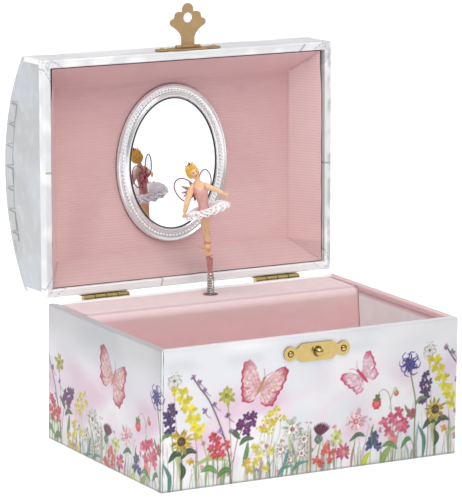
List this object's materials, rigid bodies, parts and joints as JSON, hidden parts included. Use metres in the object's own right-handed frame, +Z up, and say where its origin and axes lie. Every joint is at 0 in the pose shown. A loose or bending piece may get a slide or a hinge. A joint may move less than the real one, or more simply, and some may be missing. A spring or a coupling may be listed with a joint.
{
  "type": "musical jewellery box",
  "caption": "Papered jewellery box with a hinged domed lid, oval mirror, hasp, and a wound musical movement that turns a dancer on a coil spring.",
  "frame": {"origin": "centre of the case's underside", "axes": "+Z up, -Y towards the front with the hasp, +X to the right seen from the front"},
  "size_m": [0.16, 0.1674, 0.206],
  "materials": {
    "silver_paper": "board wrapped in silver-white printed paper",
    "pink_lining": "matt pink fabric on card",
    "brass_fitting": "bright stamped sheet",
    "brass_gear": "machined",
    "steel": "bright",
    "cast_bed": "die-cast, satin",
    "silvered_frame": "bright silvered, beaded",
    "mirror_glass": "polished",
    "figure": "hand-painted",
    "net": "gathered white net",
    "wing_film": "clear film on a thin bound wire",
    "sequin": "glossy red"
  },
  "bodies": {
    "case": {"case_front_panel": "silver_paper", "case_back_panel": "silver_paper", "case_left_panel": "silver_paper", "case_right_panel": "silver_paper", "case_bottom_panel": "silver_paper", "compartment_lining": "pink_lining", "deck_cover": "pink_lining", "hinge_case_leaf_left": "brass_fitting", "hinge_case_leaf_right": "brass_fitting", "hinge_case_nail_left_1": "brass_fitting", "hinge_case_nail_left_2": "brass_fitting", "hinge_case_nail_right_1": "brass_fitting", "hinge_case_nail_right_2": "brass_fitting", "hinge_pin_left": "brass_fitting", "hinge_pin_right": "brass_fitting", "latch_plate": "brass_fitting", "latch_knob": "brass_fitting", "latch_nail_left": "brass_fitting", "latch_nail_right": "brass_fitting", "movement_bedplate": "cast_bed", "movement_screw_1": "steel", "movement_screw_2": "steel", "comb": "steel", "comb_screw_1": "steel", "comb_screw_2": "steel", "spring_barrel": "cast_bed"},
    "lid": {"lid_top_panel": "silver_paper", "lid_left_end": "silver_paper", "lid_right_end": "silver_paper", "lid_front_panel": "silver_paper", "lid_back_panel": "silver_paper", "lid_lining_tray": "pink_lining", "mirror_frame": "silvered_frame", "mirror_glass": "mirror_glass", "hinge_lid_leaf_left": "brass_fitting", "hinge_lid_leaf_right": "brass_fitting", "hinge_lid_nail_left_1": "brass_fitting", "hinge_lid_nail_left_2": "brass_fitting", "hinge_lid_nail_right_1": "brass_fitting", "hinge_lid_nail_right_2": "brass_fitting", "hasp_plate": "brass_fitting", "hasp_pin": "brass_fitting", "hasp_nail_left": "brass_fitting", "hasp_nail_right": "brass_fitting"},
    "hasp": {"hasp_flap": "brass_fitting"},
    "spring": {"coil_spring": "steel"},
    "dancer": {"spring_socket": "steel", "dancer_figure": "figure", "dancer_tutu": "net", "dancer_wings": "wing_film", "back_ornament": "sequin"},
    "spindle": {"dancer_spindle": "steel"},
    "cylinder": {"music_cylinder": "brass_gear", "cylinder_gear": "brass_gear"},
    "winding": {"crown_wheel": "brass_gear", "winding_key": "steel"},
    "governor_gear": {"governor_wheel": "brass_gear"},
    "fan": {"governor": "brass_gear"},
    "stop": {"stop_wire": "steel"}
  },
  "joints": [
    {"name": "lid_hinge", "type": "hinge", "parent": "case", "child": "lid", "pos_m": [0, 0.0593, 0.06655], "axis": [1, 0, 0], "range_deg": [0, 91.5]},
    {"name": "hasp_hinge", "type": "hinge", "parent": "lid", "child": "hasp", "pos_m": [0.0015, 0.06844, 0.1846], "axis": [1, 0, 0], "range_deg": [-85, 90]},
    {"name": "dancer_fold", "type": "hinge", "parent": "case", "child": "spring", "pos_m": [0.0015, 0.0436, 0.07], "axis": [1, 0, 0], "range_deg": [0, 94.5], "deforming": ["coil_spring"]},
    {"name": "dancer_spin", "type": "hinge", "parent": "spring", "child": "dancer", "pos_m": [0.0015, 0.0436, 0.07], "axis": [0, 0, 1], "continuous": true},
    {"name": "cylinder_spin", "type": "hinge", "parent": "case", "child": "cylinder", "pos_m": [-0.00817, 0.0388, 0.04], "axis": [0, 0, 1], "continuous": true},
    {"name": "spindle_spin", "type": "hinge", "parent": "case", "child": "spindle", "pos_m": [0.0015, 0.0436, 0.055], "axis": [0, 0, 1], "continuous": true},
    {"name": "winding_spin", "type": "hinge", "parent": "case", "child": "winding", "pos_m": [-0.00817, 0.05, 0.017], "axis": [0, 1, 0], "continuous": true},
    {"name": "governor_wheel_spin", "type": "hinge", "parent": "case", "child": "governor_gear", "pos_m": [-0.01874, 0.04105, 0.054], "axis": [0, 0, 1], "continuous": true},
    {"name": "governor_spin", "type": "hinge", "parent": "case", "child": "fan", "pos_m": [-0.01874, 0.04641, 0.0516], "axis": [1, 0, 0], "continuous": true},
    {"name": "stop_wire_slide", "type": "slide", "parent": "case", "child": "stop", "axis": [0, 0, 1], "range_m": [-0.0013, 0]}
  ],
  "couplings": [
    {"joint": "dancer_fold", "follows": "lid_hinge", "ratio": 1.0273},
    {"joint": "stop_wire_slide", "follows": "lid_hinge", "m_per_rad": -0.00075},
    {"joint": "dancer_spin", "follows": "cylinder_spin", "ratio": -3.5},
    {"joint": "spindle_spin", "follows": "cylinder_spin", "ratio": -3.5},
    {"joint": "winding_spin", "follows": "cylinder_spin", "ratio": -0.25},
    {"joint": "governor_wheel_spin", "follows": "cylinder_spin", "ratio": -3.5},
    {"joint": "governor_spin", "follows": "cylinder_spin", "ratio": -63}
  ]
}
